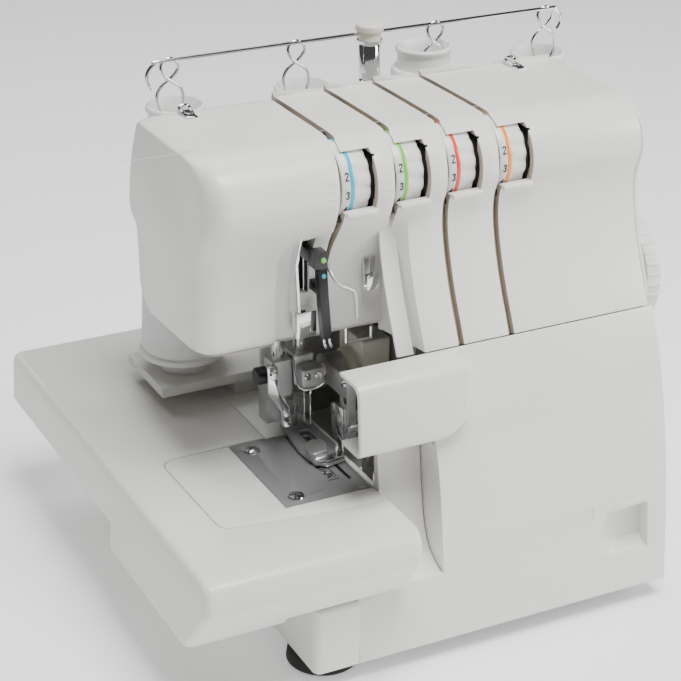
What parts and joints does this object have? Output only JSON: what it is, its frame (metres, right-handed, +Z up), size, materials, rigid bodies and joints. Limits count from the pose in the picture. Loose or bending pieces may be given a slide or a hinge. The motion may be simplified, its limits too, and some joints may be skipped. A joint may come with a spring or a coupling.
{
  "type": "serger overlock sewing machine",
  "caption": "Serger sewing machine with four tension dials, hinged looper cover, slide-off extension table, telescopic thread guide and rear spool stand.",
  "frame": {"origin": "middle of the footprint, at the level of the surface the machine stands on", "axes": "+Z up, -Y towards the user, +X towards the handwheel"},
  "size_m": [0.3499, 0.314, 0.308],
  "materials": {
    "white_plastic": "gloss",
    "white_matte": "satin",
    "black_rubber": "matte",
    "black_plastic": "satin",
    "cast_metal": "matte",
    "plate_steel": "brushed",
    "bright_steel": "polished",
    "satin_steel": "satin",
    "sheet_steel": "satin",
    "dial_blue": "gloss",
    "dial_green": "gloss",
    "dial_red": "gloss",
    "dial_orange": "gloss",
    "cream_plastic": "gloss",
    "lamp_glass": "clear",
    "thread": "soft"
  },
  "bodies": {
    "machine": {"face_cover": "white_plastic", "thread_cover": "white_plastic", "rear_cover": "white_matte", "side_cover": "white_plastic", "base_tub": "white_plastic", "bottom_plate": "sheet_steel", "feet": "black_rubber", "bay_wall": "white_plastic", "frame_casting": "cast_metal", "top_guides": "bright_steel", "tension_posts": "satin_steel", "take_up_plate": "bright_steel", "take_up_guide": "black_plastic", "head_clip": "bright_steel", "wire_guide": "bright_steel", "lamp": "lamp_glass", "free_arm": "white_plastic", "needle_plate": "plate_steel", "plate_screws": "bright_steel", "lower_knife": "satin_steel", "knife_holder": "cream_plastic", "motor": "sheet_steel", "drive_belt": "black_rubber", "spool_stand": "white_matte", "thread_cones": "thread", "mast_lower": "bright_steel", "power_inlet": "black_plastic"},
    "drive": {"main_shaft": "satin_steel", "shaft_pulley": "black_plastic", "handwheel": "white_plastic"},
    "rotor": {"motor_pulley": "satin_steel"},
    "needle_set": {"needle_bar": "bright_steel", "needle_clamp": "satin_steel", "needles": "bright_steel"},
    "presser_set": {"presser_bar": "bright_steel", "foot_bracket": "satin_steel", "foot_screw": "black_plastic"},
    "foot": {"presser_foot": "satin_steel"},
    "lifter": {"presser_lifter": "black_plastic"},
    "take_up": {"take_up_lever": "black_plastic", "take_up_arm": "bright_steel"},
    "knife_set": {"knife_arm": "satin_steel", "upper_knife": "bright_steel", "knife_knob": "black_plastic"},
    "upper_loop": {"upper_looper": "bright_steel"},
    "lower_loop": {"lower_looper": "bright_steel"},
    "feed": {"feed_dogs": "satin_steel"},
    "blue_dial": {"dial_blue": "dial_blue"},
    "green_dial": {"dial_green": "dial_green"},
    "red_dial": {"dial_red": "dial_red"},
    "orange_dial": {"dial_orange": "dial_orange"},
    "cover_slide": {"cover_rod": "satin_steel"},
    "front_cover": {"looper_cover": "white_plastic", "knife_guard": "white_plastic"},
    "table": {"extension_table": "white_plastic"},
    "mast_mid": {"mast_middle": "bright_steel"},
    "mast_high": {"mast_top": "bright_steel", "mast_cap": "cream_plastic", "guide_bar": "bright_steel"},
    "switch": {"power_switch": "black_plastic"}
  },
  "joints": [
    {"name": "handwheel_spin", "type": "hinge", "parent": "machine", "child": "drive", "pos_m": [-0.02, -0.062, 0.184], "axis": [1, 0, 0], "continuous": true},
    {"name": "motor_spin", "type": "hinge", "parent": "machine", "child": "rotor", "pos_m": [-0.02, -0.024, 0.112], "axis": [1, 0, 0], "continuous": true},
    {"name": "needle_bar_stroke", "type": "slide", "parent": "machine", "child": "needle_set", "axis": [0, 0, -1], "range_m": [0, 0.016]},
    {"name": "presser_lift", "type": "hinge", "parent": "machine", "child": "lifter", "pos_m": [-0.047, 0.018, 0.24], "axis": [1, 0, 0], "range_deg": [0, 30]},
    {"name": "presser_bar_rise", "type": "slide", "parent": "machine", "child": "presser_set", "axis": [0, 0, 1], "range_m": [0, 0.006]},
    {"name": "foot_tilt", "type": "hinge", "parent": "presser_set", "child": "foot", "pos_m": [-0.0565, -0.015, 0.112], "axis": [-1, 0, 0], "range_deg": [0, 12]},
    {"name": "take_up_swing", "type": "hinge", "parent": "machine", "child": "take_up", "pos_m": [-0.07, -0.045, 0.232], "axis": [1, 0, 0], "range_deg": [-8, 5]},
    {"name": "upper_knife_swing", "type": "hinge", "parent": "machine", "child": "knife_set", "pos_m": [-0.04, -0.03, 0.14], "axis": [1, 0, 0], "range_deg": [-6, 3]},
    {"name": "upper_looper_swing", "type": "hinge", "parent": "machine", "child": "upper_loop", "pos_m": [-0.036, -0.069, 0.076], "axis": [0, 1, 0], "range_deg": [-10, 6]},
    {"name": "lower_looper_swing", "type": "hinge", "parent": "machine", "child": "lower_loop", "pos_m": [-0.07, -0.074, 0.067], "axis": [0, 1, 0], "range_deg": [-12, 12]},
    {"name": "feed_travel", "type": "slide", "parent": "machine", "child": "feed", "axis": [0, 1, 0], "range_m": [-0.002, 0.002]},
    {"name": "tension_dial_blue_turn", "type": "hinge", "parent": "machine", "child": "blue_dial", "pos_m": [-0.051, -0.063, 0.267], "axis": [1, 0, 0], "range_deg": [-90, 180]},
    {"name": "tension_dial_green_turn", "type": "hinge", "parent": "machine", "child": "green_dial", "pos_m": [-0.0196, -0.063, 0.267], "axis": [1, 0, 0], "range_deg": [-90, 180]},
    {"name": "tension_dial_red_turn", "type": "hinge", "parent": "machine", "child": "red_dial", "pos_m": [0.0118, -0.063, 0.267], "axis": [1, 0, 0], "range_deg": [-90, 180]},
    {"name": "tension_dial_orange_turn", "type": "hinge", "parent": "machine", "child": "orange_dial", "pos_m": [0.0432, -0.063, 0.267], "axis": [1, 0, 0], "range_deg": [-90, 180]},
    {"name": "looper_cover_shift", "type": "slide", "parent": "machine", "child": "cover_slide", "axis": [1, 0, 0], "range_m": [0, 0.008]},
    {"name": "looper_cover_drop", "type": "hinge", "parent": "cover_slide", "child": "front_cover", "pos_m": [0.02, -0.127, 0.02], "axis": [1, 0, 0], "range_deg": [0, 75]},
    {"name": "table_slide", "type": "slide", "parent": "machine", "child": "table", "axis": [-1, 0, 0], "range_m": [0, 0.1]},
    {"name": "mast_first_stage", "type": "slide", "parent": "machine", "child": "mast_mid", "axis": [0, 0, 1], "range_m": [0, 0.12]},
    {"name": "mast_second_stage", "type": "slide", "parent": "mast_mid", "child": "mast_high", "axis": [0, 0, 1], "range_m": [0, 0.12]},
    {"name": "power_switch_rock", "type": "hinge", "parent": "machine", "child": "switch", "pos_m": [0.1255, -0.051, 0.118], "axis": [0, 1, 0], "range_deg": [-10, 0]}
  ],
  "couplings": [
    {"joint": "motor_spin", "follows": "handwheel_spin", "ratio": 3.4286}
  ]
}
